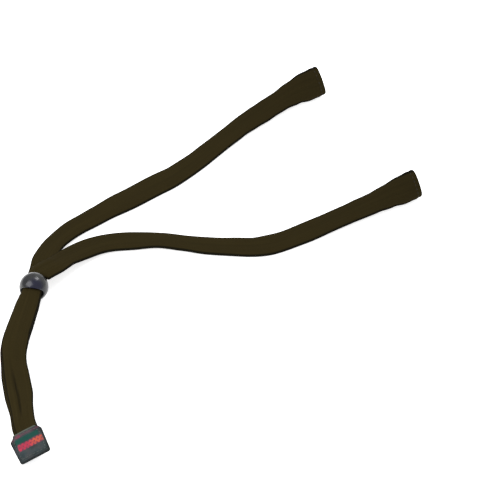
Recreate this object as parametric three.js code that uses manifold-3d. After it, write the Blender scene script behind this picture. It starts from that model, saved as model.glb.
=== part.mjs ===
// Eyeglass retainer strap: two knitted tube bands, each with a flared temple sleeve,
// gathered by an oval-bored slider bead and joined at their tail ends by a folded woven label.
// Millimetres, +Z up, +Y towards the eyeglasses, +X the wearer's right; the strap lies on z = 0.
// Each knitted tube is drawn as a flat oval band, split where it flexes.
import * as THREE from 'three';
import { mergeVertices } from 'three/addons/utils/BufferGeometryUtils.js';
import Module from 'manifold-3d';

const wasm = await Module();
wasm.setup();

// ---- driving dimensions -------------------------------------------------------------------
const GAP = 0.3;                 // clearance kept between faces that touch on the real strap
const HINGE_GAP = 0.4;           // clearance round each flexing place
const STACK_GAP = 0.45;          // between the two bands where they lie one on the other
const STEP = 5;                  // spacing of the sections along a band
const ROUTE_SEARCH_STEP = 0.1;   // fineness with which the bead's centre is found on a route

const BAND_WIDTH = 16.2;         // the tube pressed flat
const BAND_THICKNESS = 3;
const MOUTH_WIDTH = 19.6;        // the flared sleeve at its mouth
const MOUTH_THICKNESS = 9.2;
const SLEEVE_WALL = 1;
const SLEEVE_LENGTH = 42;        // mouth to the place where the sleeve flexes
const POCKET_DEPTH = 31;
const HEM_INSET = 2.5;
const HEM_THREAD_WIDTH = 1.4;
const HEM_THREAD_THICKNESS = 0.4;

const BEAD_DIAMETER = 18.4;
const BORE_WIDTH = 14;
const BORE_HEIGHT = 8.2;
const BORE_CORNER = 2;
const GRIP_WIDTH = 13.2;         // each tube where the bead grips it
const GRIP_THICKNESS = 3.6;

const TAIL_WIDTH = 15.4;
const TAIL_THICKNESS = 2.8;
const TIP_WIDTH = 15;
const TIP_THICKNESS = 0.9;
const ARM_HINGE = -22;           // measured along the bands from the bead's centre
const TAIL_HINGE = 52;
const LABEL_HINGE = 123.8;
const LABEL_START = 126.3;
const LABEL_LENGTH = 22;
const LABEL_LEFT_NEAR = 9.3;     // from the tail's middle line to the label's left edge
const LABEL_LEFT_FAR = 8.7;      // which draws in towards the far end, as the right one does
const LABEL_RIGHT_NEAR = 11.5;
const LABEL_RIGHT_FAR = 10.5;
const LABEL_LEAF = 0.5;          // the woven tape, folded round the tail ends
const LABEL_CHAMFER = 3.2;
const LABEL_TWIST = -18;
const LABEL_THREAD_INSET = 2;
const LABEL_THREAD = 0.5;
const TIP_END_SEAM = 1;

// ---- routes -------------------------------------------------------------------------------
// The bands run one on the other from the bead's centre down the tail; the bore lies along it.
const BORE_HEADING = THREE.MathUtils.degToRad(-37.8);
const BEAD_CENTRE = new THREE.Vector3(-14.7, -99.1, BEAD_DIAMETER / 2);
const BORE_DIRECTION = new THREE.Vector3(Math.cos(BORE_HEADING), Math.sin(BORE_HEADING), 0);
const alongBore = (distance) => BEAD_CENTRE.clone().addScaledVector(BORE_DIRECTION, distance);

const leftArmPoints = [
  [-111, 165.4, 11.5], [-111.7, 145.4, 8.4], [-109.7, 125.2, 4.4], [-105.1, 104.6, 3.1],
  [-97.7, 85.4, 2.1], [-90.5, 66.8, 1.5], [-83.8, 51, 1.5], [-77.3, 32.7, 1.5],
  [-73.9, 14.8, 1.5], [-70.5, -3.2, 1.5], [-68.1, -19.8, 1.5], [-64.4, -36.9, 1.6],
  [-60, -53.1, 2], [-53, -67.1, 2.9], [-42.3, -77.6, 5.3],
];
const rightArmPoints = [
  [16.3, 164.7, 11.5], [15.6, 145.8, 8.4], [14.3, 129, 4.8], [14.1, 112.5, 3.5],
  [14.8, 96.4, 2.6], [15.5, 78.8, 1.8], [15.5, 61.8, 1.5], [12.1, 45.7, 1.5], [4.9, 33.2, 1.5],
  [-3.7, 19.6, 1.5], [-12.8, 7.7, 1.5], [-22.5, -4.6, 1.5], [-30.5, -18.1, 1.6],
  [-36.4, -32.8, 2], [-37.5, -48.6, 3.4], [-32.1, -66.2, 6.3], [-25.4, -79.2, 9.4],
];
const gripPoints = [-10, 0, 16, 32, 48].map((d) => alongBore(d).toArray());
const tailPoints = [
  [31.3, -134.1, 7.6], [41, -138.5, 5], [58.1, -144.1, 4.1], [68.5, -147.2, 4.9],
  [79.5, -150.9, 5.8], [90, -154.5, 6.1], [96, -155.6, 6.1], [104.5, -156.7, 6.1],
  [116, -158.2, 6.1], [127.5, -159.7, 6.1],
];

// Sections of a band: distance from the mouth, or from the bead's centre, then width,
// thickness, twist in degrees (the right-hand edge lifts), share of the stack offset, side shift.
const mouthSections = [
  [0, MOUTH_WIDTH, MOUTH_THICKNESS, 66, 0, 0],
  [12, 19, MOUTH_THICKNESS, 52, 0, 0],
  [22, 17.6, 6.4, 34, 0, 0],
  [33, 16.2, 4, 15, 0, 0],
  [SLEEVE_LENGTH, BAND_WIDTH, BAND_THICKNESS, 10, 0, 0],
  [62, 16, BAND_THICKNESS, 5, 0, 0],
  [92, BAND_WIDTH, BAND_THICKNESS, 0, 0, 0],
];
const beadSections = [
  [-60, BAND_WIDTH, BAND_THICKNESS, 0, 0, 0],
  [-34, 15.8, BAND_THICKNESS, 0, 0.35, 0],
  [-14, GRIP_WIDTH, GRIP_THICKNESS, 0, 1, 0],
  [45, GRIP_WIDTH, GRIP_THICKNESS, 0, 1, 0],
  [56, TAIL_WIDTH, 3.3, 0, 1, 0.4],
  [66, 14.8, 2.9, 0, 1, 0.5],
  [78, TAIL_WIDTH, TAIL_THICKNESS, 0, 1, 0.8],
  [92, TAIL_WIDTH, TAIL_THICKNESS, -9, 1, 1],
  [114, TIP_WIDTH, 1.9, LABEL_TWIST, 1, 0.3],
  [124, TIP_WIDTH, TIP_THICKNESS, LABEL_TWIST, 1, 0],
  [160, TIP_WIDTH, TIP_THICKNESS, LABEL_TWIST, 1, 0],
];

function sectionAt(sections, distance) {
  let i = 0;
  while (i < sections.length - 2 && distance > sections[i + 1][0]) {
    i += 1;
  }
  const share = THREE.MathUtils.smoothstep(distance, sections[i][0], sections[i + 1][0]);
  const [, width, thickness, twist, stacked, shift] = sections[i].map(
    (value, column) => THREE.MathUtils.lerp(value, sections[i + 1][column], share),
  );
  return { width, thickness, twist, stacked, shift };
}

// A route knows its curve, where the bead's centre falls on it and the frame at any distance.
// hingePoint is on the bare curve, so stacked bands share each flexing place.
function makeRoute(armPoints, side) {
  const points = [...armPoints, ...gripPoints, ...tailPoints];
  const curve = new THREE.CatmullRomCurve3(points.map((p) => new THREE.Vector3(...p)));
  curve.arcLengthDivisions = 1200;
  const length = curve.getLength();
  let beadAt = 0;
  for (let s = 0; s < length; s += ROUTE_SEARCH_STEP) {
    const nearer = curve.getPointAt(s / length).distanceTo(BEAD_CENTRE)
      < curve.getPointAt(beadAt / length).distanceTo(BEAD_CENTRE);
    beadAt = nearer ? s : beadAt;
  }
  const sections = [
    ...mouthSections,
    ...beadSections.map(([distance, ...rest]) => [beadAt + distance, ...rest]),
  ];

  const hingePoint = (distance) => curve.getPointAt(distance / length);

  // Before the mouth, where only a cutter reaches, the route runs on straight.
  function frameAt(distance) {
    const onCurve = Math.max(0, distance);
    const section = sectionAt(sections, onCurve);
    const tangent = curve.getTangentAt(onCurve / length);
    const flatRight = new THREE.Vector3(tangent.y, -tangent.x, 0).normalize();
    const lift = THREE.MathUtils.degToRad(-section.twist);
    const right = flatRight.clone().applyAxisAngle(tangent, lift);
    const up = right.clone().cross(tangent);
    const stackOffset = side * section.stacked * (section.thickness + STACK_GAP) / 2;
    const centre = hingePoint(onCurve)
      .addScaledVector(tangent, distance - onCurve)
      .addScaledVector(up, stackOffset)
      .addScaledVector(right, -side * section.shift);
    return { centre, tangent, right, up, section };
  }
  return { frameAt, hingePoint, beadAt };
}

// ---- solids -------------------------------------------------------------------------------
function toManifold(geometry) {
  const bare = new THREE.BufferGeometry();
  bare.setAttribute('position', geometry.getAttribute('position'));
  bare.setIndex(geometry.getIndex());
  const merged = mergeVertices(bare, 1e-4);
  return new wasm.Manifold(new wasm.Mesh({
    numProp: 3,
    vertProperties: new Float32Array(merged.getAttribute('position').array),
    triVerts: new Uint32Array(merged.getIndex().array),
  }));
}

function toGeometry(solid) {
  const mesh = solid.getMesh();
  const geometry = new THREE.BufferGeometry();
  geometry.setAttribute('position', new THREE.BufferAttribute(mesh.vertProperties, 3));
  geometry.setIndex(new THREE.BufferAttribute(mesh.triVerts, 1));
  return geometry;
}

// Unit flat oval: two half circles of radius 1 about (-1, 0) and (1, 0).
function flatOval() {
  const shape = new THREE.Shape();
  shape.absarc(1, 0, 1, -Math.PI / 2, Math.PI / 2);
  shape.absarc(-1, 0, 1, Math.PI / 2, 3 * Math.PI / 2);
  return shape;
}

// A stretch of band: the oval is extruded straight, then each vertex moves to its place on the
// route. grow is added all round, so a negative value makes a pocket's inside.
function bandSolid(route, from, to, grow = 0) {
  const steps = Math.max(2, Math.ceil((to - from) / STEP));
  const options = { depth: 1, steps, bevelEnabled: false, curveSegments: 4 };
  const geometry = new THREE.ExtrudeGeometry(flatOval(), options);
  const position = geometry.getAttribute('position');
  for (let i = 0; i < position.count; i += 1) {
    const step = Math.round(position.getZ(i) * steps);
    const { centre, right, up, section } = route.frameAt(from + (to - from) * step / steps);
    const halfThickness = section.thickness / 2 + grow;
    const straight = section.width / 2 - section.thickness / 2;
    const x = position.getX(i);
    const across = Math.sign(x) * (straight + halfThickness * (Math.abs(x) - 1));
    const place = centre.clone()
      .addScaledVector(right, -across)
      .addScaledVector(up, halfThickness * position.getY(i));
    position.setXYZ(i, place.x, place.y, place.z);
  }
  return toManifold(geometry);
}

// Upright cylinder about the route, for the round ends of the bands where they flex sideways.
const FLEX_CUTTER_HEIGHT = 60;
const FLEX_MARGIN = 0.35;
function uprightCylinder(route, at, radius) {
  const geometry = new THREE.CylinderGeometry(radius, radius, FLEX_CUTTER_HEIGHT, 32);
  const { x, y } = route.hingePoint(at);
  geometry.rotateX(Math.PI / 2).translate(x, y, 0);
  return toManifold(geometry);
}

// The radius of a flexing place: a little more than half the band's width.
const flexRadius = (route, at) => route.frameAt(at).section.width / 2 + FLEX_MARGIN;

function roundEnd(route, at, towards) {
  const radius = flexRadius(route, at);
  const reach = at + towards * (radius + 1);
  const stretch = bandSolid(route, Math.min(reach, at - towards), Math.max(reach, at - towards));
  return stretch.intersect(uprightCylinder(route, at, radius));
}

function hollowEnd(solid, route, at) {
  return solid.subtract(uprightCylinder(route, at, flexRadius(route, at) + HINGE_GAP));
}

function sleeveSolid(route) {
  const body = bandSolid(route, 0, SLEEVE_LENGTH).add(roundEnd(route, SLEEVE_LENGTH, 1));
  return body.subtract(bandSolid(route, -1, POCKET_DEPTH, -SLEEVE_WALL));
}

function hemThreadSolid(route) {
  const end = HEM_INSET + HEM_THREAD_WIDTH;
  const outer = bandSolid(route, HEM_INSET, end, GAP + HEM_THREAD_THICKNESS);
  return outer.subtract(bandSolid(route, HEM_INSET - 1, end + 1, GAP));
}

function armSolid(route) {
  const hinge = route.beadAt + ARM_HINGE;
  const band = bandSolid(route, SLEEVE_LENGTH, hinge).add(roundEnd(route, hinge, 1));
  return hollowEnd(band, route, SLEEVE_LENGTH);
}

function gripSolid(route) {
  const hinge = route.beadAt + ARM_HINGE;
  const tailHinge = route.beadAt + TAIL_HINGE;
  const band = bandSolid(route, hinge, tailHinge).add(roundEnd(route, tailHinge, 1));
  return hollowEnd(band, route, hinge);
}

function tailSolid(route) {
  const hinge = route.beadAt + TAIL_HINGE;
  const end = route.beadAt + LABEL_HINGE - HINGE_GAP / 2;
  return hollowEnd(bandSolid(route, hinge, end), route, hinge);
}

const tipEnd = LABEL_START + LABEL_LENGTH - LABEL_LEAF - TIP_END_SEAM - 2 * GAP;

function tipSolid(route) {
  const start = route.beadAt + LABEL_HINGE + HINGE_GAP / 2;
  return bandSolid(route, start, route.beadAt + tipEnd);
}

function beadSolid() {
  const x = BORE_WIDTH / 2 - BORE_CORNER;
  const y = BORE_HEIGHT / 2 - BORE_CORNER;
  const bore = new THREE.Shape();
  bore.absarc(x, -y, BORE_CORNER, -Math.PI / 2, 0);
  bore.absarc(x, y, BORE_CORNER, 0, Math.PI / 2);
  bore.absarc(-x, y, BORE_CORNER, Math.PI / 2, Math.PI);
  bore.absarc(-x, -y, BORE_CORNER, Math.PI, 3 * Math.PI / 2);
  const options = { depth: 2 * BEAD_DIAMETER, bevelEnabled: false, curveSegments: 4 };
  const boreGeometry = new THREE.ExtrudeGeometry(bore, options);
  boreGeometry.translate(0, 0, -BEAD_DIAMETER);
  const ball = new THREE.SphereGeometry(BEAD_DIAMETER / 2, 32, 20);
  return toManifold(ball).subtract(toManifold(boreGeometry));
}

// ---- woven label: local x across, y along the tail, z through the stack -----------------------
const STACK = 2 * TIP_THICKNESS + STACK_GAP;
const CAVITY_HEIGHT = STACK + 2 * GAP;
const LABEL_THICKNESS = CAVITY_HEIGHT + 2 * LABEL_LEAF;
const LABEL_EDGE_RADIUS = 1;

function labelOutline(inset) {
  const leftFlare = (LABEL_LEFT_NEAR - LABEL_LEFT_FAR) / LABEL_LENGTH;
  const leftAt = (y) => leftFlare * y - LABEL_LEFT_NEAR + inset;
  const far = LABEL_LENGTH - inset;
  const rightFlare = (LABEL_RIGHT_FAR - LABEL_RIGHT_NEAR) / LABEL_LENGTH;
  const rightAt = (y) => LABEL_RIGHT_NEAR + rightFlare * y - inset;
  const shoulder = inset + LABEL_CHAMFER;
  const radius = LABEL_EDGE_RADIUS;
  const shape = new THREE.Shape();
  shape.moveTo(leftAt(inset) + LABEL_CHAMFER, inset);
  shape.lineTo(rightAt(inset) - LABEL_CHAMFER, inset);
  shape.lineTo(rightAt(shoulder), shoulder);
  shape.absarc(rightAt(far) - radius, far - radius, radius, 0, Math.PI / 2);
  shape.absarc(leftAt(far) + radius, far - radius, radius, Math.PI / 2, Math.PI);
  shape.lineTo(leftAt(shoulder), shoulder);
  return shape;
}

function labelSolid() {
  const options = { depth: LABEL_THICKNESS, bevelEnabled: false, curveSegments: 4 };
  const block = new THREE.ExtrudeGeometry(labelOutline(0), options);
  block.translate(0, 0, -LABEL_THICKNESS / 2);
  const cavityLength = tipEnd - LABEL_START + TIP_END_SEAM + 2 * GAP;
  const cavity = new THREE.BoxGeometry(TIP_WIDTH + 2 * GAP, cavityLength + 2, CAVITY_HEIGHT);
  cavity.translate(0, cavityLength / 2 - 1, 0);
  return toManifold(block).subtract(toManifold(cavity));
}

function labelThreadSolid() {
  const options = { depth: LABEL_THREAD, bevelEnabled: false, curveSegments: 4 };
  const shape = labelOutline(LABEL_THREAD_INSET);
  shape.holes.push(labelOutline(LABEL_THREAD_INSET + LABEL_THREAD));
  return toManifold(new THREE.ExtrudeGeometry(shape, options));
}

function tipSeamSolid() {
  const bar = new THREE.BoxGeometry(TIP_WIDTH - 1, TIP_END_SEAM, STACK);
  bar.translate(0, tipEnd - LABEL_START + GAP + TIP_END_SEAM / 2, 0);
  return toManifold(bar);
}

// ---- materials ----------------------------------------------------------------------------
function material(color, roughness) {
  return new THREE.MeshStandardMaterial({ color, roughness, metalness: 0 });
}
const knit = () => material(0x2e2818, 0.95);
const seamThread = () => material(0x1c190f, 0.9);
const labelThread = () => material(0x1a2220, 0.9);

const assembly = new THREE.Group();

function addNode(name, solid, finish, parent = assembly) {
  const mesh = new THREE.Mesh(toGeometry(solid), finish);
  mesh.name = name;
  parent.add(mesh);
  return mesh;
}

// ---- assembly -----------------------------------------------------------------------------
// The left band is the lower one in the bead and the tail, the right band the upper one.
const routes = { left: makeRoute(leftArmPoints, -1), right: makeRoute(rightArmPoints, 1) };
for (const [side, route] of Object.entries(routes)) {
  addNode(`${side}_temple_sleeve`, sleeveSolid(route), knit());
  addNode(`${side}_hem_thread`, hemThreadSolid(route), seamThread());
  addNode(`${side}_arm_band`, armSolid(route), knit());
  addNode(`${side}_grip_band`, gripSolid(route), knit());
  addNode(`${side}_tail_band`, tailSolid(route), knit());
  addNode(`${side}_tail_tip`, tipSolid(route), knit());
}

const bead = addNode('slider_bead', beadSolid(), material(0x4a4a4e, 0.35));
const boreAcross = new THREE.Vector3(BORE_DIRECTION.y, -BORE_DIRECTION.x, 0);
const boreInwards = BORE_DIRECTION.clone().negate();
bead.quaternion.setFromRotationMatrix(
  new THREE.Matrix4().makeBasis(boreAcross, new THREE.Vector3(0, 0, 1), boreInwards),
);
bead.position.copy(BEAD_CENTRE);

// The label's frame is midway between the two tail tips, in line with their middles.
const labelFrames = [routes.left, routes.right].map(
  (route) => route.frameAt(route.beadAt + LABEL_START + LABEL_LENGTH / 2),
);
const labelGroup = new THREE.Group();
labelGroup.position
  .lerpVectors(labelFrames[0].centre, labelFrames[1].centre, 0.5)
  .addScaledVector(labelFrames[0].tangent, -LABEL_LENGTH / 2);
labelGroup.quaternion.setFromRotationMatrix(
  new THREE.Matrix4().makeBasis(labelFrames[0].right, labelFrames[0].tangent, labelFrames[0].up),
);
assembly.add(labelGroup);
addNode('end_label', labelSolid(), material(0x2f3a38, 0.9), labelGroup);
addNode('label_needle_thread', labelThreadSolid(), labelThread(), labelGroup)
  .position.z = LABEL_THICKNESS / 2 + GAP;
addNode('label_bobbin_thread', labelThreadSolid(), labelThread(), labelGroup)
  .position.z = -LABEL_THICKNESS / 2 - GAP - LABEL_THREAD;
addNode('tail_joining_seam', tipSeamSolid(), seamThread(), labelGroup);

export default assembly;
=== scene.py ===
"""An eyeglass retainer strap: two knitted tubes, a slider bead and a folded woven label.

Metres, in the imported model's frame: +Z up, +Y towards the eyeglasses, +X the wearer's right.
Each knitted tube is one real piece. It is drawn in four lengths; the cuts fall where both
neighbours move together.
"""

import math

import bpy
import numpy as np
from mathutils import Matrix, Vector


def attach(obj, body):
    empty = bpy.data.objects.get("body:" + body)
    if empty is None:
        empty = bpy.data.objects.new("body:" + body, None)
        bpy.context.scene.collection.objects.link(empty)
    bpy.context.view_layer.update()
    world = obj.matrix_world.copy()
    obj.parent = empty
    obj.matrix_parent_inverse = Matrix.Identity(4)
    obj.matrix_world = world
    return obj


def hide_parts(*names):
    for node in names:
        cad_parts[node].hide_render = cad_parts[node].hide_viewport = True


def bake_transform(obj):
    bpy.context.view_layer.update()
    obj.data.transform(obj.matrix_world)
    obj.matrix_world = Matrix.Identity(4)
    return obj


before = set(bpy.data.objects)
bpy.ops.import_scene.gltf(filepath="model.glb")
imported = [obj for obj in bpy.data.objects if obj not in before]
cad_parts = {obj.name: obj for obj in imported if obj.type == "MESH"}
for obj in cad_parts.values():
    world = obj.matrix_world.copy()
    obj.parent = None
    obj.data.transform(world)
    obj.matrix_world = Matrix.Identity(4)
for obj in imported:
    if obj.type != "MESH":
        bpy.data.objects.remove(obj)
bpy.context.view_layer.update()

MM = 0.001


# ---- camera ---------------------------------------------------------------------------------
CAMERA_TARGET = Vector((0.0108, 0.0418, 0))
CAMERA_AZIMUTH = math.radians(61.1)
CAMERA_ELEVATION = math.radians(41)
CAMERA_DISTANCE = 1.5
CAMERA_LENS = 167.4


def make_camera():
    """A long lens that looks down on the strap from its right and the tail's side."""
    towards = Vector((
        math.sin(CAMERA_AZIMUTH) * math.cos(CAMERA_ELEVATION),
        -math.cos(CAMERA_AZIMUTH) * math.cos(CAMERA_ELEVATION),
        math.sin(CAMERA_ELEVATION),
    ))
    data = bpy.data.cameras.new("camera")
    data.lens = CAMERA_LENS
    data.sensor_width = 36
    camera = bpy.data.objects.new("camera", data)
    camera.location = CAMERA_TARGET + CAMERA_DISTANCE * towards
    camera.rotation_euler = (-towards).to_track_quat("-Z", "Y").to_euler()
    bpy.context.scene.collection.objects.link(camera)
    bpy.context.scene.camera = camera


# ---- routes ---------------------------------------------------------------------------------
BEAD_DIAMETER = 18.4 * MM
BORE_HEADING = math.radians(-37.8)
BEAD_CENTRE = np.array((-0.0147, -0.0991, BEAD_DIAMETER / 2))
BORE_DIRECTION = np.array((math.cos(BORE_HEADING), math.sin(BORE_HEADING), 0))
STACK_GAP = 0.45 * MM

LEFT_ARM = [
    (-0.111, 0.1654, 0.0115), (-0.1117, 0.1454, 0.0084), (-0.1097, 0.1252, 0.0044),
    (-0.1051, 0.1046, 0.0031), (-0.0977, 0.0854, 0.0021), (-0.0905, 0.0668, 0.0015),
    (-0.0838, 0.051, 0.0015), (-0.0773, 0.0327, 0.0015), (-0.0739, 0.0148, 0.0015),
    (-0.0705, -0.0032, 0.0015), (-0.0681, -0.0198, 0.0015), (-0.0644, -0.0369, 0.0016),
    (-0.06, -0.0531, 0.002), (-0.053, -0.0671, 0.0029), (-0.0423, -0.0776, 0.0053),
]
RIGHT_ARM = [
    (0.0163, 0.1647, 0.0115), (0.0156, 0.1458, 0.0084), (0.0143, 0.129, 0.0048),
    (0.0141, 0.1125, 0.0035), (0.0148, 0.0964, 0.0026), (0.0155, 0.0788, 0.0018),
    (0.0155, 0.0618, 0.0015), (0.0121, 0.0457, 0.0015), (0.0049, 0.0332, 0.0015),
    (-0.0037, 0.0196, 0.0015), (-0.0128, 0.0077, 0.0015), (-0.0225, -0.0046, 0.0015),
    (-0.0305, -0.0181, 0.0016), (-0.0364, -0.0328, 0.002), (-0.0375, -0.0486, 0.0034),
    (-0.0321, -0.0662, 0.0063), (-0.0254, -0.0792, 0.0094),
]
GRIP = [tuple(BEAD_CENTRE + BORE_DIRECTION * d * MM) for d in (-10, 0, 16, 32, 48)]
TAIL = [
    (0.0313, -0.1341, 0.0076), (0.041, -0.1385, 0.005), (0.0581, -0.1441, 0.0041),
    (0.0685, -0.1472, 0.0049), (0.0795, -0.1509, 0.0058), (0.09, -0.1545, 0.0061),
    (0.096, -0.1556, 0.0061), (0.1045, -0.1567, 0.0061), (0.116, -0.1582, 0.0061),
    (0.1275, -0.1597, 0.0061),
]

# Sections, in millimetres and degrees: distance along the tube, width, thickness, twist, share
# of the stack offset, side shift, squareness (2 is an ellipse, more is flatter), pleating.
ARM_SECTIONS = {                 # a negative distance is before the bead's centre
    "left": [
        (0, 20.6, 9.2, 64, 0, 0.5, 2.3, 0), (12, 20.6, 9.2, 52, 0, 0.2, 2.3, 0),
        (22, 17.4, 6.4, 34, 0, 0.2, 2.4, 0.3), (33, 16.4, 4, 15, 0, 0.3, 2.7, 0.5),
        (42, 16.9, 3, 10, 0, 0.4, 3, 0.3), (52, 17.1, 3, 8, 0, -0.3, 3.2, 0.1),
        (62, 16.5, 3, 6, 0, -0.5, 3.2, 0), (76, 15.8, 3, 3, 0, 0, 3.2, 0),
        (92, 16.3, 3, 0, 0, 0.2, 3.2, 0), (110, 16, 3, 4, 0, 0, 3.2, 0),
        (134, 16.3, 3, 7, 0, 0.4, 3.2, 0), (150, 17.3, 3, 9, 0, 0.2, 3.2, 0),
        (182, 17.5, 3, 7, 0, 0.1, 3.2, 0), (202, 15.7, 3, 5, 0, 0, 3.2, 0),
        (-74, 15.3, 3, 2, 0, 0.3, 3.2, 0), (-53, 14.2, 3, 0, 0, -0.3, 3.2, 0),
        (-32, 15.3, 3, 0, 0.35, 0.5, 3, 0.3), (-16, 13.8, 3.5, 0, 1, 0.2, 2.6, 0.9),
        (-9, 12.2, 4.2, 0, 1, 0, 2.2, 0.8),
    ],
    "right": [
        (0, 19.3, 9.2, 66, 0, 0.1, 2.3, 0), (12, 18.9, 8.6, 50, 0, 0.3, 2.3, 0),
        (22, 16.4, 5.8, 32, 0, 0, 2.4, 0.3), (33, 16, 3.8, 14, 0, -0.3, 2.7, 0.5),
        (42, 16.5, 3, 9, 0, -0.4, 3, 0.3), (52, 15.8, 3, 7, 0, -0.1, 3.2, 0),
        (66, 16, 3, 5, 0, -0.2, 3.2, 0), (84, 17, 3, 4, 0, -0.3, 3.2, 0),
        (98, 16.4, 3, 5, 0, -0.3, 3.2, 0), (112, 16.8, 3, 8, 0, 0.2, 3.2, 0),
        (124, 16.5, 3, 5, 0, -0.2, 3.2, 0), (150, 16.3, 3, 0, 0, -0.3, 3.2, 0),
        (168, 15.7, 3, -4, 0, -0.3, 3.2, 0), (182, 16.6, 3, -7, 0, -0.3, 3.2, 0),
        (205, 17.2, 3, 0, 0, 0, 3.2, 0), (-67, 17, 3, 0, 0, -0.2, 3.2, 0),
        (-53, 17.6, 3, 0, 0, 0, 3.2, 0), (-32, 15.8, 3, 0, 0.35, -0.6, 3, 0.3),
        (-22, 16.4, 3.4, 0, 0.8, -0.2, 2.6, 0.8), (-14, 16.6, 3.8, 0, 1, 0.6, 2.4, 0.9),
        (-9, 12.6, 4.2, 0, 1, 0.2, 2.2, 0.8),
    ],
}
BEAD_SECTIONS = [
    (7, 12.6, 4.2, 0, 1, 0, 2.2, 0.8),
    (11, 13.6, 4, 0, 1, 0, 2.3, 0.7),
    (19, 14.7, 3.6, 0, 1, 0, 2.6, 0.6),
    (42, 15.5, 3.6, 0, 1, 0.1, 2.8, 0.5),
    (53, 16.6, 3.3, 0, 1, 0.4, 3, 0.4),
    (66, 14.8, 2.9, 0, 1, 0.6, 3, 0.3),
    (78, 15.5, 2.8, 0, 1, 0.8, 3, 0.3),
    (92, 15.7, 2.8, -9, 1, 1, 3, 0.3),
    (112, 13.8, 1.9, -18, 1, 0.9, 2.6, 0.7),
    (124, 13.5, 0.9, -18, 1, 0.9, 3, 0.3),
    (160, 13.5, 0.9, -18, 1, 0.9, 3, 0),
]

# Distances along a tube: the sleeve's from its mouth, the others from the bead's centre.
SLEEVE_HINGE = 42 * MM
SLEEVE_CUT = 130 * MM
POCKET_DEPTH = 31 * MM
ARM_HINGE = -22 * MM
TAIL_HINGE = 52 * MM
TAIL_CUT = 92 * MM
LABEL_HINGE = 123.8 * MM
LABEL_START = 126.3 * MM
TIP_END = 146.2 * MM
LABEL_BEND = LABEL_HINGE - 4 * MM

BEND_REACH = 12 * MM             # how far from a hinge, along the tube, bend() puts its unused ends
LABEL_BEND_REACH = 6 * MM
CLOTH = 1 * MM                   # the thickness of the knit
SPAN_STEPS = 60                  # steps of a route's curve between two of its points


def catmull_rom(points):
    """A centripetal Catmull-Rom curve through the points, as a dense polyline."""
    p = [np.array(q, float) for q in points]
    p = [2 * p[0] - p[1], *p, 2 * p[-1] - p[-2]]
    u = np.linspace(0, 1, SPAN_STEPS, endpoint=False)[:, None]
    spans = []
    for p0, p1, p2, p3 in zip(p, p[1:], p[2:], p[3:]):
        d0, d1, d2 = (math.sqrt(np.linalg.norm(b - a)) for a, b in ((p0, p1), (p1, p2), (p2, p3)))
        t1 = d1 * ((p1 - p0) / d0 - (p2 - p0) / (d0 + d1) + (p2 - p1) / d1)
        t2 = d1 * ((p2 - p1) / d1 - (p3 - p1) / (d1 + d2) + (p3 - p2) / d2)
        spans.append(
            p1 + t1 * u
            + (3 * (p2 - p1) - 2 * t1 - t2) * u ** 2
            + (2 * (p1 - p2) + t1 + t2) * u ** 3
        )
    return np.vstack([*spans, p[-2]])


class Route:
    """A tube's centreline and its frame at any distance from the mouth. side is -1 for the
    lower, left tube and 1 for the upper, right tube."""

    def __init__(self, arm, side):
        self.side = side
        self.line = catmull_rom(arm + GRIP + TAIL)
        steps = np.linalg.norm(np.diff(self.line, axis=0), axis=1)
        self.at = np.concatenate([[0], np.cumsum(steps)])
        self.bead = self.at[np.argmin(np.linalg.norm(self.line - BEAD_CENTRE, axis=1))]
        arm_rows = np.array(ARM_SECTIONS["right" if side > 0 else "left"], float)
        bead_rows = np.array(BEAD_SECTIONS, float)
        arm_rows[arm_rows[:, 0] < 0, 0] += self.bead / MM
        bead_rows[:, 0] += self.bead / MM
        self.sections = np.vstack([arm_rows, bead_rows])

    def point(self, s):
        return np.stack([np.interp(s, self.at, self.line[:, k]) for k in range(3)], axis=-1)

    def section(self, s):
        """The section's columns after the distance, eased between the rows."""
        table = self.sections
        i = np.clip(np.searchsorted(table[:, 0], s / MM, side="right") - 1, 0, len(table) - 2)
        t = np.clip((s / MM - table[i, 0]) / (table[i + 1, 0] - table[i, 0]), 0, 1)
        t = (t * t * (3 - 2 * t))[:, None]
        return (table[i, 1:] * (1 - t) + table[i + 1, 1:] * t).T

    def frames(self, s):
        """Centre, right, up and the section at each distance of the array s."""
        width, thickness, twist, stacked, shift, square, pleat = self.section(s)
        tangent = self.point(s + 0.2 * MM) - self.point(s - 0.2 * MM)
        tangent /= np.linalg.norm(tangent, axis=1)[:, None]
        flat = np.stack([tangent[:, 1], -tangent[:, 0], 0 * s], axis=-1)
        flat /= np.linalg.norm(flat, axis=1)[:, None]
        turn = np.radians(-twist)[:, None]
        right = flat * np.cos(turn) + np.cross(tangent, flat) * np.sin(turn)
        up = np.cross(right, tangent)
        stack = self.side * stacked * (thickness * MM + STACK_GAP) / 2
        centre = self.point(s) + up * stack[:, None] - right * (self.side * shift * MM)[:, None]
        return centre, right, up, width * MM, thickness * MM, square, pleat


ROUTES = {"left": Route(LEFT_ARM, -1), "right": Route(RIGHT_ARM, 1)}


# ---- mesh helpers ---------------------------------------------------------------------------
def smooth(t):
    t = np.clip(t, 0, 1)
    return t * t * (3 - 2 * t)


def make_object(name, vertices, faces, material):
    mesh = bpy.data.meshes.new(name)
    mesh.from_pydata([tuple(v) for v in vertices], [], faces)
    mesh.materials.append(material)
    mesh.validate()
    mesh.shade_smooth()
    obj = bpy.data.objects.new(name, mesh)
    bpy.context.scene.collection.objects.link(obj)
    return obj


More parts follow.
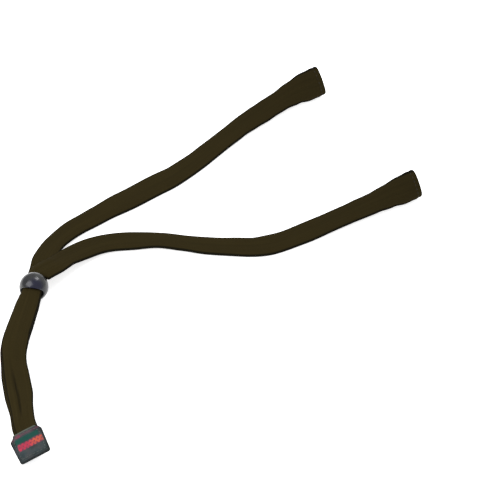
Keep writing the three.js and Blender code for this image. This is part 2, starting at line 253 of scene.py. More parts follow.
def set_uv(obj, per_vertex, seam_width=None):
    """UVs from one (u, v) a vertex; a face that wraps round the seam gets seam_width added."""
    layer = obj.data.uv_layers.new(name="UVMap")
    corners = np.empty(len(obj.data.loops), int)
    obj.data.loops.foreach_get("vertex_index", corners)
    uv = np.array(per_vertex, float)[corners]
    if seam_width:
        for face in obj.data.polygons:
            loops = slice(face.loop_start, face.loop_start + face.loop_total)
            u = uv[loops, 0]
            if u.max() - u.min() > seam_width / 2:
                uv[loops, 0] = np.where(u < seam_width / 2, u + seam_width, u)
    layer.data.foreach_set("uv", uv.astype(np.float32).ravel())


def set_point_value(obj, name, values):
    layer = obj.data.attributes.new(name, "FLOAT", "POINT")
    layer.data.foreach_set("value", np.asarray(values, np.float32))


def ring_faces(rings, around, first=0):
    """Quads between successive rings of around vertices, numbered from first."""
    faces = []
    for j in range(rings - 1):
        a = first + j * around
        b = a + around
        for i in range(around):
            following = (i + 1) % around
            faces.append((a + i, a + following, b + following, b + i))
    return faces


# ---- the knitted tubes ----------------------------------------------------------------------
RING_STEP = 1 * MM
SLEEVE_SHADE = 0.16               # painted shade on the sleeves, on the folded edges' scale
SLEEVE_SHADE_REACH = 110 * MM
FACE_STEPS = 30                  # steps across each face of a tube, closer together at its edges
KNIT_GIRTH = 34 * MM             # the tube's girth in the knit's own measure, the same all along


def ring_layout():
    """One ring as rows: share across the tube (-1 to 1) and face (1 top, -1 underneath). It runs
    over the top from left to right and back underneath."""
    share = np.sin(np.linspace(-math.pi / 2, math.pi / 2, FACE_STEPS + 1))
    top = [(x, 1) for x in share[:-1]]
    underneath = [(x, -1) for x in share[:0:-1]]
    return np.array(top + underneath)


LAYOUT = ring_layout()


def crown(share, square):
    """Height of a flat oval over the share of its width, 1 in the middle and 0 at its edges."""
    return (1 - np.minimum(np.abs(share), 1) ** square) ** (1 / square)


def slack(side, s, share):
    """Slow, shallow waves of limp cloth, in metres."""
    t = s / MM + 37 * side
    return MM * (
        0.10 * np.sin(t / 9.1 + 1.7 * share)
        + 0.07 * np.sin(t / 4.3 - 2.9 * share + 1)
        + 0.05 * np.sin(t / 17 + 4.1 * share + 2)
    )


def pleats(side, s, share):
    """Lengthwise folds where the tube is gathered; always inwards, 0 to 1."""
    t = s / MM
    wander = 0.5 * np.sin(t / 11 + 2 * side) + 0.3 * np.sin(t / 6.1 + side)
    wave = 0.5 - 0.5 * np.cos(7.5 * share + wander + 1.3 * side)
    fine = 0.5 - 0.5 * np.cos(15 * share - 1.4 * wander)
    return 0.7 * wave ** 2 + 0.3 * fine


PLEAT_DEPTH = 0.55 * MM
CREASE_DEPTH = 0.7 * MM
CREASE_SHADE = 0.8                # painted shade in the tail's fold, 1 as dark as the folded edges
BEAD_DRAPE = 1.4 * MM            # how far the tubes' edges close towards each other in the bore
BEAD_DRAPE_REACH = 24 * MM


def tail_crease(route, s, share):
    """The long soft fold down the outer side of the upper tail, 0 to 1."""
    d = (s - route.bead) / MM
    place = 0.26 - 0.10 * smooth((d - 75) / 25)
    reach = smooth((d - 66) / 22) * smooth((118 - d) / 12)
    return reach * np.exp(-((share - place) / 0.09) ** 2)


def tube_rings(route, s, grow=0.0):
    """Vertices of the tube's rings at the distances s; grow moves them outwards."""
    centre, right, up, width, thickness, square, pleat = route.frames(s)
    share, face = (LAYOUT[:, k][None, :] for k in range(2))
    s2, half = s[:, None], (thickness / 2 + grow)[:, None]
    across = (width / 2 + grow)[:, None] * share
    height = half * face * crown(share, square[:, None])
    body = 1 - share ** 6
    height = height - face * PLEAT_DEPTH * pleat[:, None] * pleats(route.side, s2, share) * body
    if route.side > 0:
        height = height - (face > 0) * CREASE_DEPTH * tail_crease(route, s2, share)
    drape = BEAD_DRAPE * np.exp(-((s2 - route.bead) / BEAD_DRAPE_REACH) ** 2)
    height = height - route.side * drape * np.abs(share) ** 3
    free = smooth((half - 0.6 * MM) / MM) * (1 - 0.75 * (np.abs(s2 - route.bead) < 45 * MM))
    height = height + 0.6 * free * slack(route.side, s2, share) * (face > 0) * body
    across = across + free * 0.12 * MM * np.sin(s2 / MM / 13 + 2 * np.sign(share)) * share ** 3
    points = (
        centre[:, None, :]
        + across[:, :, None] * right[:, None, :]
        + height[:, :, None] * up[:, None, :]
    )
    points[:, :, 2] += np.maximum(0, -points[:, :, 2].min(axis=1))[:, None]
    return points.reshape(-1, 3)


def knit_uv(s):
    """UVs in metres of cloth: round the tube, then along it."""
    half_width, half_thickness, square = 7.8, 1.5, 3         # the section it is measured on
    share, face = LAYOUT[:, 0], LAYOUT[:, 1]
    flat = np.stack([share * half_width, face * half_thickness * crown(share, square)], axis=1)
    steps = np.linalg.norm(np.diff(flat, axis=0, append=flat[:1]), axis=1)
    u = np.concatenate([[0], np.cumsum(steps)[:-1]]) / steps.sum() * KNIT_GIRTH
    return np.stack([np.tile(u, len(s)), np.repeat(s, len(LAYOUT))], axis=1)


def edge_shade_value():
    """Painted shade: 1 on the tube's two folded edges, falling to 0 on its faces."""
    share, face = np.abs(LAYOUT[:, 0]), LAYOUT[:, 1]
    return np.where(face > 0, smooth((share - 0.87) / 0.08), smooth((share - 0.78) / 0.08))


def sleeve_shade(s):
    """How much painted shade darkens the knit towards the sleeve's mouth."""
    return SLEEVE_SHADE * (1 - smooth(s / SLEEVE_SHADE_REACH))


def distances(start, end):
    """Where the rings of a length of tube are."""
    return np.linspace(start, end, max(2, round((end - start) / RING_STEP)) + 1)


def knit_object(name, rings, along, shade, material):
    """A knitted mesh from a tube's stacked rings, closed inside by a separate cap at each end.
    along is each ring's distance for the knit's UVs; shade darkens it, one value a point."""
    around, count = len(LAYOUT), len(rings)
    vertices = np.vstack([rings, rings[:around], rings[-around:]])
    faces = ring_faces(count // around, around)
    faces.append(tuple(range(count + around - 1, count - 1, -1)))
    faces.append(tuple(range(count + around, count + 2 * around)))
    obj = make_object(name, vertices, faces, material)
    set_uv(obj, knit_uv(along), KNIT_GIRTH)
    # painted shade: the folded edges are darkened, with the shade argument added on top
    edge = np.tile(edge_shade_value(), (len(along), 1))
    set_point_value(obj, "edge", np.maximum(edge, shade).ravel())
    return obj


def closed_tube(name, route, start, end, material):
    """A closed length of tube; the upper one gets painted shade in the tail's fold."""
    s = distances(start, end)
    along = np.concatenate([s, s[:1], s[-1:]])
    shade = 0.0
    if route.side > 0:
        share, face = (LAYOUT[:, k][None, :] for k in range(2))
        # painted shade in the tail's fold
        shade = CREASE_SHADE * (face > 0) * tail_crease(route, along[:, None], share)
    return knit_object(name, tube_rings(route, s), along, shade, material)


HEM_DEPTH = 6 * MM
HEM_STITCH = 3.2 * MM
HEM_SWELL = 0.22 * MM


def sleeve_tube(name, route, end, material):
    """The tube with its open, hemmed sleeve: it runs up the pocket, round the rim and on."""
    inner_s = distances(1 * MM, POCKET_DEPTH)[::-1]
    outer_s = distances(1 * MM, end)
    rim = []
    for angle in np.linspace(math.radians(150), math.radians(30), 5):
        lift = CLOTH / 2 * math.cos(angle)
        rim.append((CLOTH * (0.9 - 0.9 * math.sin(angle)), -CLOTH / 2 + lift))
    hem = np.exp(-((outer_s - HEM_DEPTH) / (0.9 * MM)) ** 2) * HEM_SWELL
    pull = np.exp(-((outer_s - HEM_STITCH) / (0.5 * MM)) ** 2) * HEM_SWELL
    rings = [tube_rings(route, inner_s, -CLOTH)]
    rings += [tube_rings(route, np.array([s]), grow) for s, grow in rim]
    rings.append(tube_rings(route, outer_s, hem + HEM_SWELL * (outer_s < HEM_DEPTH) - pull))
    along = np.concatenate([-inner_s, [s for s, _ in rim], outer_s, inner_s[:1], outer_s[-1:]])
    # painted shade, darker towards the sleeve's mouth
    shade = sleeve_shade(np.abs(along))[:, None]
    return knit_object(name, np.vstack(rings), along, shade, material)


def centre_path(route, start, end):
    """Points along the middle of a length of tube, from its mouth's end."""
    centre = route.frames(distances(start, end))[0]
    return [tuple(p) for p in centre]


def bend(obj, route, hinge, half_span):
    """Bakes obj's transform into its mesh. The ends of a bend within half_span of a hinge along
    the tube are worked out but not used; half_span is negative where the second body is on the
    mouth's side."""
    ends = route.point(np.array([hinge - half_span, hinge + half_span]))
    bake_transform(obj)


def make_tubes(knit):
    """The eight lengths of knitted tube, by name."""
    pieces = {}
    for side, route in ROUTES.items():
        cut, bead = SLEEVE_CUT, route.bead

        sleeve = sleeve_tube(f"{side}_sleeve_tube", route, cut, knit)
        bend(sleeve, route, SLEEVE_HINGE, -BEND_REACH)
        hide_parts(f"{side}_temple_sleeve")

        arm = closed_tube(f"{side}_arm_tube", route, cut, bead, knit)
        bend(arm, route, bead + ARM_HINGE, -BEND_REACH)
        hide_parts(f"{side}_arm_band")

        tail = closed_tube(f"{side}_tail_tube", route, bead, bead + TAIL_CUT, knit)
        bend(tail, route, bead + TAIL_HINGE, BEND_REACH)
        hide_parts(f"{side}_grip_band", f"{side}_tail_band")

        tip = closed_tube(f"{side}_tip_tube", route, bead + TAIL_CUT, bead + TIP_END, knit)
        bend(tip, route, bead + LABEL_BEND, LABEL_BEND_REACH)
        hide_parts(f"{side}_tail_tip")

        for piece in (sleeve, arm, tail, tip):
            pieces[piece.name] = piece
    return pieces


def declare_tubes(pieces, hems):
    """Works out each limp flat tube's path from the bead to its mouth and down; none is used."""
    for side, route in ROUTES.items():
        cut, bead = SLEEVE_CUT, route.bead
        lengths = {
            "sleeve": (cut, 0, "bare", [hems[side]]),
            "arm": (bead, cut, "object", []),
            "tail": (bead, bead + TAIL_CUT, "object", [pieces[f"{side}_tip_tube"]]),
        }
        for part, (start, end, far_end, others) in lengths.items():
            path = centre_path(route, min(start, end), max(start, end))
            path = path if start < end else path[::-1]


# ---- stitches -------------------------------------------------------------------------------
def stitch_row(name, points, normals, length, pitch, radius, material):
    """Stitches of thread along a closed polyline; each dips into the cloth at its ends."""
    points = np.vstack([points, points[:1]])
    normals = np.vstack([normals, normals[:1]])
    at = np.concatenate([[0], np.cumsum(np.linalg.norm(np.diff(points, axis=0), axis=1))])
    count = round(at[-1] / pitch)
    around, rows = 8, 9
    vertices, faces = [], []

    def place(values, s):
        return np.array([np.interp(s % at[-1], at, values[:, k]) for k in range(3)])

    for i in range(count):
        start = i * at[-1] / count
        first = len(vertices)
        for k in range(rows):
            t = k / (rows - 1)
            s = start + length * t
            normal = place(normals, s)
            normal /= np.linalg.norm(normal)
            along = place(points, s + 0.1 * MM) - place(points, s - 0.1 * MM)
            along /= np.linalg.norm(along)
            across = np.cross(along, normal)
            arch = math.sin(math.pi * t)
            centre = place(points, s) + normal * radius * (1.1 * arch - 0.9)
            thick = radius * (0.35 + 0.65 * arch ** 0.5)
            for j in range(around):
                a = 2 * math.pi * j / around
                vertices.append(centre + thick * (math.cos(a) * across + math.sin(a) * normal))
        faces += ring_faces(rows, around, first)
        faces.append(tuple(first + j for j in range(around - 1, -1, -1)))
        faces.append(tuple(first + (rows - 1) * around + j for j in range(around)))
    return make_object(name, vertices, faces, material)


def make_hem(side, thread):
    """The row of stitches round a sleeve's mouth."""
    route = ROUTES[side]
    ring = tube_rings(route, np.array([HEM_STITCH]))
    further = tube_rings(route, np.array([HEM_STITCH + 0.5 * MM]))
    outwards = np.cross(np.roll(ring, -1, axis=0) - np.roll(ring, 1, axis=0), further - ring)
    outwards /= np.linalg.norm(outwards, axis=1)[:, None]
    hem = stitch_row(
        f"{side}_hem_stitches", ring, outwards,
        length=2.2 * MM, pitch=2.8 * MM, radius=0.24 * MM, material=thread,
    )
    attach(hem, f"{side}_sleeve")
    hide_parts(f"{side}_hem_thread")
    return hem


# ---- the slider bead ------------------------------------------------------------------------
BORE_WIDTH = 13.6 * MM
BORE_HEIGHT = 9.6 * MM
BORE_LIP = 0.7 * MM
BEAD_DARK_REFLECTION = np.array((0.0064, -0.0014, 0.0064))   # a dark reflection painted on the plastic, from its centre


def bore_radius(angle):
    """Distance from the bore's axis to its oval wall in a direction."""
    return 1 / math.hypot(math.cos(angle) / (BORE_WIDTH / 2), math.sin(angle) / (BORE_HEIGHT / 2))


def make_bead(material):
    """A ball with an oval bore whose lips are rolled into the ball."""
    radius = BEAD_DIAMETER / 2
    around, wall, lip, ball = 128, 8, 8, 40      # points round the bore and along each part
    along = BORE_DIRECTION
    across = np.array((-along[1], along[0], 0))
    up = np.array((0, 0, 1))
    rings = []
    for i in range(around):
        angle = 2 * math.pi * i / around
        bore = bore_radius(angle)
        lip_z = math.sqrt((radius - BORE_LIP) ** 2 - (bore + BORE_LIP) ** 2)
        tip = math.atan2(bore + BORE_LIP, lip_z)
        profile = [(bore, -lip_z + 2 * lip_z * k / wall) for k in range(wall)]
        profile += [
            (bore + BORE_LIP + BORE_LIP * math.cos(a), lip_z + BORE_LIP * math.sin(a))
            for a in np.linspace(math.pi, math.pi / 2 - tip, lip, endpoint=False)
        ]
        sweep = np.linspace(tip, math.pi - tip, ball, endpoint=False)
        profile += [(radius * math.sin(a), radius * math.cos(a)) for a in sweep]
        profile += [
            (bore + BORE_LIP + BORE_LIP * math.cos(a), -lip_z - BORE_LIP * math.sin(a))
            for a in np.linspace(math.pi / 2 - tip, math.pi, lip, endpoint=False)
        ]
        outwards = across * math.cos(angle) + up * math.sin(angle)
        rings.append([BEAD_CENTRE + outwards * rho + along * z for rho, z in profile])
    count = len(rings[0])
    vertices = [p for ring in rings for p in ring]
    faces = []
    for i in range(around):
        a, b = i * count, (i + 1) % around * count
        faces += [(a + k, a + (k + 1) % count, b + (k + 1) % count, b + k) for k in range(count)]
    bead = make_object("bead", vertices, faces, material)
    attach(bead, "bead")
    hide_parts("slider_bead")
    return bead


# ---- the woven label ------------------------------------------------------------------------
LABEL_LENGTH = 22 * MM
LABEL_LEFT = (9.3 * MM, 8.7 * MM)     # from its middle line to its left side, at the tail and
LABEL_RIGHT = (11.5 * MM, 10.5 * MM)  # at the far end, and the same to its right side
LABEL_CHAMFER = 3.2 * MM
LABEL_CORNER = 1 * MM
LABEL_HALF = 1.9 * MM            # half its thickness where the tube ends are inside
LABEL_EDGE = 0.62 * MM           # half its thickness where only its two leaves are sewn together
LABEL_LEAF = 0.5 * MM
LABEL_CORE = 8.1 * MM            # half the width of the tube ends inside
STITCH_INSET = 2 * MM


def label_frame():
    """Origin and the across, along and up directions of the label."""
    s = np.array([LABEL_START + LABEL_LENGTH / 2])
    frames = [route.frames(s + route.bead) for route in ROUTES.values()]
    middle = (frames[0][0][0] + frames[1][0][0]) / 2
    right, up = frames[0][1][0], frames[0][2][0]
    along = np.cross(up, right)
    return middle - along * LABEL_LENGTH / 2, right, along, up


def label_side(edges, y):
    """Distance from the label's middle line to LABEL_LEFT or LABEL_RIGHT at y along it."""
    return edges[0] + (edges[1] - edges[0]) * y / LABEL_LENGTH


def label_edges(y):
    """The label's left and right edges at a distance along it."""
    far = max(0, y - (LABEL_LENGTH - LABEL_CORNER))
    cut = LABEL_CORNER - math.sqrt(max(0, LABEL_CORNER ** 2 - far ** 2))
    cut += max(0, LABEL_CHAMFER - y)
    return cut - label_side(LABEL_LEFT, y), label_side(LABEL_RIGHT, y) - cut


def label_half_thickness(x, y):
    """Half the label's thickness at a place on it."""
    left, right = label_edges(y)
    side = smooth((abs(x) - LABEL_CORE + 0.4 * MM) / (1.3 * MM))
    far = smooth((y - (LABEL_LENGTH - 2.4 * MM)) / (1.4 * MM))
    flat = max(side, far)
    body = LABEL_HALF * (1 - flat) + LABEL_EDGE * flat
    inset = min(x - left, right - x, LABEL_LENGTH - y, y)
    groove = 0.22 * MM * math.exp(-((inset - STITCH_INSET) / (0.45 * MM)) ** 2)
    swell = 0.12 * MM * math.sin(x / MM * 0.55 + 1) * math.sin(y / MM * 0.4 + 0.5)
    return body - groove + swell * (1 - flat)


LABEL_COLUMNS = 60
LABEL_EDGE_POINTS = 5


def label_ring(y, inside=0.0, along=None):
    """A ring round the label at y, as (x, along, z) rows; inside moves it inwards."""
    left, right = label_edges(y)
    left, right = left + inside, right - inside
    rows = []
    xs = np.linspace(left + LABEL_EDGE * 0.7, right - LABEL_EDGE * 0.7, LABEL_COLUMNS)
    heights = [max(0.12 * MM, label_half_thickness(x, y) - inside) for x in xs]
    rows += [(x, h) for x, h in zip(xs, heights)]
    turn = np.linspace(math.pi / 2, -math.pi / 2, LABEL_EDGE_POINTS + 2)[1:-1]
    rows += [(xs[-1] + LABEL_EDGE * 0.7 * math.cos(a), heights[-1] * math.sin(a)) for a in turn]
    rows += [(x, -h) for x, h in zip(xs[::-1], heights[::-1])]
    rows += [(xs[0] - LABEL_EDGE * 0.7 * math.cos(a), -heights[0] * math.sin(a)) for a in turn]
    place = y if along is None else along
    return [(x, place, z) for x, z in rows]


def make_label(material):
    """The tape folded round the tube ends: a flat bag, open where they go in."""
    depth = 3 * MM
    rows = [label_ring(0, LABEL_LEAF, y) for y in np.linspace(depth, 0.25 * MM, 6)]
    lip = ((0.85, 0.06 * MM), (0.5, 0), (0.15, 0.06 * MM))
    rows += [label_ring(0, LABEL_LEAF * k, y) for k, y in lip]
    rows += [label_ring(y) for y in np.linspace(0.25 * MM, LABEL_LENGTH - 0.02 * MM, 64)]
    centre, right, along, up = label_frame()
    around = len(rows[0])
    local = np.array([p for row in rows for p in row])
    vertices = centre + local[:, :1] * right + local[:, 1:2] * along + local[:, 2:] * up
    faces = ring_faces(len(rows), around)
    faces.append(tuple(range(around - 1, -1, -1)))
    faces.append(tuple(range(len(local) - around, len(local))))
    label = make_object("label", vertices, faces, material)
    uv = local[:, :2].copy()
    set_uv(label, uv)
    set_point_value(label, "front", (local[:, 2] > 0).astype(float))
    set_point_value(label, "inset", [
        min(x - label_edges(y)[0], label_edges(y)[1] - x, LABEL_LENGTH - y) for x, y in uv
    ])
    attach(label, "label")
    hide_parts("end_label")
    return label


def make_label_stitches(name, face, node, thread):
    """The sewn line inside the label's outline, on its front (1) or its back (-1)."""
    inset = STITCH_INSET
    far, shoulder = LABEL_LENGTH - inset, inset + LABEL_CHAMFER

    def left(y):
        return inset - label_side(LABEL_LEFT, y)

    def right_edge(y):
        return label_side(LABEL_RIGHT, y) - inset

    corners = [
        (left(inset) + LABEL_CHAMFER, inset), (right_edge(inset) - LABEL_CHAMFER, inset),
        (right_edge(shoulder), shoulder), (right_edge(far), far), (left(far), far),
        (left(shoulder), shoulder),
    ]
    line = []
    for (x0, y0), (x1, y1) in zip(corners, corners[1:] + corners[:1]):
        n = max(2, round(math.hypot(x1 - x0, y1 - y0) / (0.4 * MM)))
        line += [(x0 + (x1 - x0) * k / n, y0 + (y1 - y0) * k / n) for k in range(n)]
    centre, right, along, up = label_frame()
    points = np.array([
        centre + right * x + along * y + up * face * (label_half_thickness(x, y) + 0.05 * MM)
        for x, y in line
    ])
    normals = np.tile(up * face, (len(points), 1))
    row = stitch_row(
        name, points, normals, length=1.9 * MM, pitch=2.3 * MM, radius=0.2 * MM, material=thread
    )
    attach(row, "label")
    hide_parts(node)
    return row


def make_tail_seam(thread):
    """The stitches that close the two tubes' ends together, inside the label."""
    near, far = TIP_END - LABEL_START + 0.3 * MM, TIP_END - LABEL_START + 0.9 * MM
    half = 6.5 * MM
    across = np.linspace(-half, half, 60)
    line = [(x, near) for x in across] + [(x, far) for x in across[::-1]]
    centre, right, along, up = label_frame()
    points = np.array([centre + right * x + along * y for x, y in line])
    normals = np.tile(up, (len(points), 1))
    seam = stitch_row(
        "tail_seam", points, normals,
        length=1.6 * MM, pitch=2 * MM, radius=0.2 * MM, material=thread,
    )
    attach(seam, "label")
    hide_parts("tail_joining_seam")
    return seam


# ---- materials ------------------------------------------------------------------------------
class Nodes:
    """Short names for building a material's node tree."""

    def __init__(self, name, base, roughness, sheen=0.0, specular=0.5):
        self.material = bpy.data.materials.new(name)
        self.material.use_nodes = True
        self.tree = self.material.node_tree
        self.shader = self.tree.nodes["Principled BSDF"]
        self.shader.inputs["Base Color"].default_value = (*base, 1)
        self.shader.inputs["Roughness"].default_value = roughness
        self.shader.inputs["Specular IOR Level"].default_value = specular
        self.shader.inputs["Sheen Weight"].default_value = sheen
        self.material.diffuse_color = (*base, 1)

    def link(self, source, target):
        self.tree.links.new(source, target)

    def put(self, socket, value):
        """Links the socket to value, or sets it."""
        if isinstance(value, bpy.types.NodeSocket):
            self.link(value, socket)
        else:
            socket.default_value = value

    def math(self, operation, a, b=0.0, c=0.0):
        node = self.tree.nodes.new("ShaderNodeMath")
        node.operation = operation
        for socket, value in zip(node.inputs, (a, b, c)):
            self.put(socket, value)
        return node.outputs[0]

    def attribute(self, name):
        node = self.tree.nodes.new("ShaderNodeAttribute")
        node.attribute_name = name
        return node.outputs["Fac"]

    def uv(self):
        node = self.tree.nodes.new("ShaderNodeUVMap")
        node.uv_map = "UVMap"
        split = self.tree.nodes.new("ShaderNodeSeparateXYZ")
        self.link(node.outputs[0], split.inputs[0])
        return node.outputs[0], split.outputs[0], split.outputs[1]

    def noise(self, vector, scale, detail=2.0, stretch=(1, 1, 1)):
        mapping = self.tree.nodes.new("ShaderNodeMapping")
        mapping.inputs["Scale"].default_value = stretch
        self.link(vector, mapping.inputs[0])
        node = self.tree.nodes.new("ShaderNodeTexNoise")
        node.inputs["Scale"].default_value = scale
        node.inputs["Detail"].default_value = detail
        self.link(mapping.outputs[0], node.inputs["Vector"])
        return node.outputs["Fac"]

    def object_position(self):
        node = self.tree.nodes.new("ShaderNodeTexCoord")
        return node.outputs["Object"]

    def near(self, place, centre, inner, outer):
        """1 within the inner distance of a point, falling to 0 at the outer."""
        node = self.tree.nodes.new("ShaderNodeVectorMath")
        node.operation = "DISTANCE"
        self.link(place, node.inputs[0])
        node.inputs[1].default_value = centre
        return self.math("SUBTRACT", 1, self.ramp(node.outputs["Value"], inner, outer))

    def ramp(self, value, low, high):
        """value mapped linearly from low..high to 0..1 and clamped."""
        node = self.tree.nodes.new("ShaderNodeMapRange")
        node.inputs["From Min"].default_value = low
        node.inputs["From Max"].default_value = high
        self.link(value, node.inputs["Value"])
        return node.outputs[0]

    def mix(self, share, a, b):
        node = self.tree.nodes.new("ShaderNodeMix")
        node.data_type = "RGBA"
        self.put(node.inputs["Factor"], share)
        for socket, value in ((node.inputs["A"], a), (node.inputs["B"], b)):
            self.put(socket, value if isinstance(value, bpy.types.NodeSocket) else (*value, 1))
        return next(o for o in node.outputs if o.type == "RGBA")

    def colour(self, value):
        self.link(value, self.shader.inputs["Base Color"])

    def rough(self, value):
        self.link(value, self.shader.inputs["Roughness"])

    def bump(self, height, distance, strength=1.0):
        node = self.tree.nodes.new("ShaderNodeBump")
        node.inputs["Distance"].default_value = distance
        node.inputs["Strength"].default_value = strength
        self.link(height, node.inputs["Height"])
        self.link(node.outputs[0], self.shader.inputs["Normal"])


WALE = KNIT_GIRTH / 34           # the width of one column of loops
COURSE = 0.8 * MM                # the length of one loop
KNIT_BASE = (0.0256, 0.0190, 0.0061)
# KNIT_DARK: the yarn's darkest tone and also the colour of the knit's painted shade
KNIT_DARK = (0.0035, 0.0034, 0.0024)


def knit_material():
    """Stocking stitch: columns of V-shaped loops and heathered yarn, with painted shade."""
    n = Nodes("knit", KNIT_BASE, 0.95, specular=0.03)
    vector, u, v = n.uv()
    wale = n.math("DIVIDE", u, WALE)
    leg = n.math("ABSOLUTE", n.math("SUBTRACT", n.math("FRACT", wale), 0.5))
    slant = n.math("MULTIPLY_ADD", leg, 1.7, n.math("DIVIDE", v, COURSE))
    phase = n.math("SINE", n.math("MULTIPLY", slant, 2 * math.pi))
    loop = n.math("MULTIPLY_ADD", phase, 0.5, 0.5)
    yarn = n.math("SINE", n.math("MULTIPLY", leg, 2 * math.pi))
    height = n.math("MULTIPLY", n.math("SQRT", yarn), n.math("MULTIPLY_ADD", loop, 0.6, 0.4))
    streak = n.noise(vector, 900, 2, (1, 0.012, 1))
    cloud = n.noise(vector, 60, 3, (1, 0.5, 1))
    fibre = n.noise(vector, 4200, 2, (1, 0.35, 1))
    # painted shade: the knit is painted darker where its loops dip
    tone = n.math("MULTIPLY_ADD", height, 0.20, 0.88)
    for pattern, contrast in ((streak, 0.24), (cloud, 0.16), (fibre, 0.24)):
        factor = n.math("MULTIPLY_ADD", pattern, contrast, 1 - contrast / 2)
        tone = n.math("MULTIPLY", tone, factor)
    light = tuple(1.16 * c for c in KNIT_BASE)
    body = n.mix(n.ramp(tone, 0.45, 1.15), KNIT_DARK, light)
    # painted shade: darkens the folded edges, the tail's fold and the sleeves towards their mouths
    n.colour(n.mix(n.math("MULTIPLY", n.attribute("edge"), 0.85), body, KNIT_DARK))
    n.bump(n.math("MULTIPLY_ADD", fibre, 0.25, height), 0.14 * MM, 0.4)
    return n.material


def thread_material(name, base):
    """Spun thread: a twisted ply and a slight heather."""
    n = Nodes(name, base, 0.8, sheen=0.1, specular=0.3)
    place = n.object_position()
    ply = n.noise(place, 5200, 2)
    n.colour(n.mix(ply, tuple(0.55 * c for c in base), tuple(1.5 * c for c in base)))
    n.bump(ply, 0.08 * MM, 0.5)
    return n.material


def bead_material():
    """Smoky, slightly clouded grey plastic with a soft gloss and a painted dark reflection."""
    n = Nodes("bead_plastic", (0.05, 0.05, 0.055), 0.3, specular=0.42)
    place = n.object_position()
    grain = n.noise(place, 1900, 2)
    cloud = n.ramp(n.noise(place, 150, 3), 0.38, 0.66)
    clouded = n.mix(cloud, (0.007, 0.007, 0.009), (0.030, 0.031, 0.030))
    # painted reflection: a dark bluish patch painted on the bead's upper side
    dark_reflection = n.near(place, BEAD_CENTRE + BEAD_DARK_REFLECTION, 3 * MM, 6.5 * MM)
    n.colour(n.mix(dark_reflection, clouded, (0.006, 0.006, 0.020)))
    n.rough(n.math("MULTIPLY_ADD", grain, 0.10, 0.19))
    n.bump(grain, 0.03 * MM, 0.25)
    return n.material


LABEL_GREY = (0.046, 0.050, 0.053)
LABEL_TEAL = (0.008, 0.062, 0.048)
LABEL_BLUE = (0.030, 0.050, 0.054)
LABEL_DARK = (0.012, 0.014, 0.014)
LABEL_PALE = (0.095, 0.105, 0.080)
LABEL_RED = (0.46, 0.034, 0.068)
LABEL_ORANGE = (0.50, 0.088, 0.050)
LABEL_ROSE = (0.17, 0.042, 0.068)
DIAMOND_LINE = 11.6 * MM         # from the label's near end to the middle of its row of diamonds
DIAMOND_PITCH = 4.7 * MM
DIAMOND_HEIGHT = 3.8 * MM
DIAMOND_THICK = 1.15 * MM


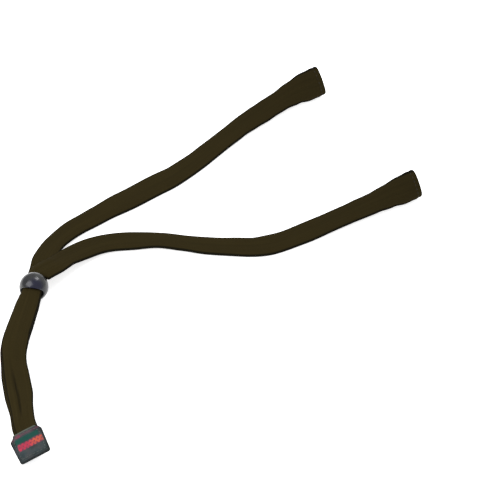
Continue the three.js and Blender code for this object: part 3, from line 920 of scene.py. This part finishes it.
def label_material():
    """Damask tape: fine ribs, a pale binding, a teal stripe and a red lattice of diamonds."""
    n = Nodes("woven_label", LABEL_GREY, 0.9, specular=0.08)
    vector, x, y = n.uv()
    rib = n.math("SINE", n.math("MULTIPLY", x, 2 * math.pi / (0.42 * MM)))
    pick = n.math("SINE", n.math("MULTIPLY", y, 2 * math.pi / (0.36 * MM)))
    weave = n.math("MULTIPLY_ADD", n.math("MULTIPLY", rib, pick), 0.5, 0.5)
    heather = n.noise(vector, 2600, 2, (1, 0.4, 1))
    patches = n.ramp(n.noise(vector, 190, 2), 0.40, 0.62)

    def between(value, low, high, soft):
        start = n.ramp(value, low - soft, low + soft)
        end = n.ramp(value, high - soft, high + soft)
        return n.math("SUBTRACT", start, end)

    def band(low, high):
        """1 between two distances along the label."""
        return between(y, low, high, 0.25 * MM)

    def within(low, high):
        """1 between two distances across the label."""
        return between(x, low, high, 0.3 * MM)

    def zigzag(height):
        """A woven zigzag across the label; a negative height starts it downwards."""
        tooth = n.math("PINGPONG", n.math("ADD", x, 20 * DIAMOND_PITCH), DIAMOND_PITCH / 2)
        place = n.math(
            "MULTIPLY_ADD", tooth, 2 * height / DIAMOND_PITCH, DIAMOND_LINE - height / 2
        )
        gap = n.math("ABSOLUTE", n.math("SUBTRACT", y, place))
        return n.math("SUBTRACT", 1, n.ramp(gap, DIAMOND_THICK * 0.75, DIAMOND_THICK * 1.25))

    def lay(ground, share, colour):
        return n.mix(share, ground, colour)

    red = n.mix(n.ramp(x, -2.6 * MM, 1.6 * MM), LABEL_ORANGE, LABEL_RED)
    worn = n.ramp(n.noise(vector, 420, 2), 0.42, 0.66)
    red = n.mix(n.math("MULTIPLY", worn, 0.6), red, LABEL_ROSE)
    front = n.attribute("front")
    ground = n.mix(heather, LABEL_GREY, tuple(1.3 * c for c in LABEL_GREY))
    ground = lay(ground, n.math("MULTIPLY", patches, 0.7), LABEL_BLUE)
    shadows = n.ramp(n.noise(vector, 120, 2), 0.46, 0.64)
    ground = lay(ground, n.math("MULTIPLY", shadows, 0.55), LABEL_DARK)
    ground = lay(ground, n.math("MULTIPLY", band(1.6 * MM, 3.4 * MM), 0.35), LABEL_ROSE)
    spot = n.math("MULTIPLY", band(1.3 * MM, 3.7 * MM), within(4.2 * MM, 7.2 * MM))
    ground = lay(ground, spot, LABEL_ROSE)
    teal = n.math("MULTIPLY", band(4.5 * MM, 8.2 * MM), within(-6.6 * MM, 8.6 * MM))
    ground = lay(ground, n.math("MULTIPLY", teal, 0.9), LABEL_TEAL)
    panel = n.math("MULTIPLY", band(9.0 * MM, 14.4 * MM), within(-7.6 * MM, 8.2 * MM))
    ground = lay(ground, n.math("MULTIPLY", panel, front), LABEL_ROSE)
    lattice = [zigzag(height) for height in (DIAMOND_HEIGHT, -DIAMOND_HEIGHT)]
    motif = n.math("MULTIPLY", n.math("MAXIMUM", *lattice), n.math("MULTIPLY", panel, front))
    ground = lay(ground, motif, red)
    # painted shade: the label's rim is painted darker close to its outline
    edges = n.math("SUBTRACT", 1, n.ramp(n.attribute("inset"), 0.5 * MM, 1.2 * MM))
    ground = lay(ground, n.math("MULTIPLY", edges, 0.8), LABEL_DARK)
    ground = lay(ground, n.math("MULTIPLY", band(-2 * MM, 1.1 * MM), 0.8), LABEL_PALE)
    # painted shade: the weave is painted darker where it dips
    n.colour(n.mix(n.math("MULTIPLY_ADD", weave, -0.30, 0.30), ground, LABEL_DARK))
    n.bump(n.math("MULTIPLY_ADD", motif, 0.6, weave), 0.09 * MM, 0.5)
    return n.material


# ---- stage ----------------------------------------------------------------------------------
FLOOR_GLOW = 0.7
WORLD_STRENGTH = 0.72
SOFTBOXES = {                    # place, size in metres, power in watts
    "key": ((-0.38, 0.89, 1.59), 0.7, 13),
    "fill": ((0.02, -0.44, 0.44), 0.42, 2.3),
}


def make_stage():
    """A white floor and world, and two softboxes that show in the bead."""
    bpy.ops.mesh.primitive_plane_add(size=8, location=(0, 0, -0.15 * MM))
    floor = bpy.context.object
    floor.name = "floor"
    paper = Nodes("floor_paper", (0.92, 0.92, 0.92), 0.9, specular=0.1)
    paper.shader.inputs["Emission Color"].default_value = (1, 1, 1, 1)
    paper.shader.inputs["Emission Strength"].default_value = FLOOR_GLOW
    floor.data.materials.append(paper.material)

    world = bpy.data.worlds.new("world")
    world.use_nodes = True
    background = world.node_tree.nodes["Background"]
    background.inputs["Color"].default_value = (1, 1, 1, 1)
    background.inputs["Strength"].default_value = WORLD_STRENGTH
    bpy.context.scene.world = world

    for name, (place, size, power) in SOFTBOXES.items():
        data = bpy.data.lights.new(name, "AREA")
        data.size = size
        data.energy = power
        light = bpy.data.objects.new(name, data)
        light.location = place
        light.rotation_euler = (-Vector(place)).to_track_quat("-Z", "Y").to_euler()
        bpy.context.scene.collection.objects.link(light)
    bpy.context.scene.view_settings.view_transform = "Standard"


# ---- build ----------------------------------------------------------------------------------
make_camera()
knit = knit_material()
seam_thread = thread_material("seam_thread", (0.012, 0.010, 0.006))
label_thread = thread_material("label_thread", (0.060, 0.072, 0.066))

tubes = make_tubes(knit)
hems = {side: make_hem(side, seam_thread) for side in ROUTES}
declare_tubes(tubes, hems)
make_bead(bead_material())
make_label(label_material())
make_label_stitches("label_front_stitches", 1, "label_needle_thread", label_thread)
make_label_stitches("label_back_stitches", -1, "label_bobbin_thread", label_thread)
make_tail_seam(seam_thread)
make_stage()

bpy.context.view_layer.update()
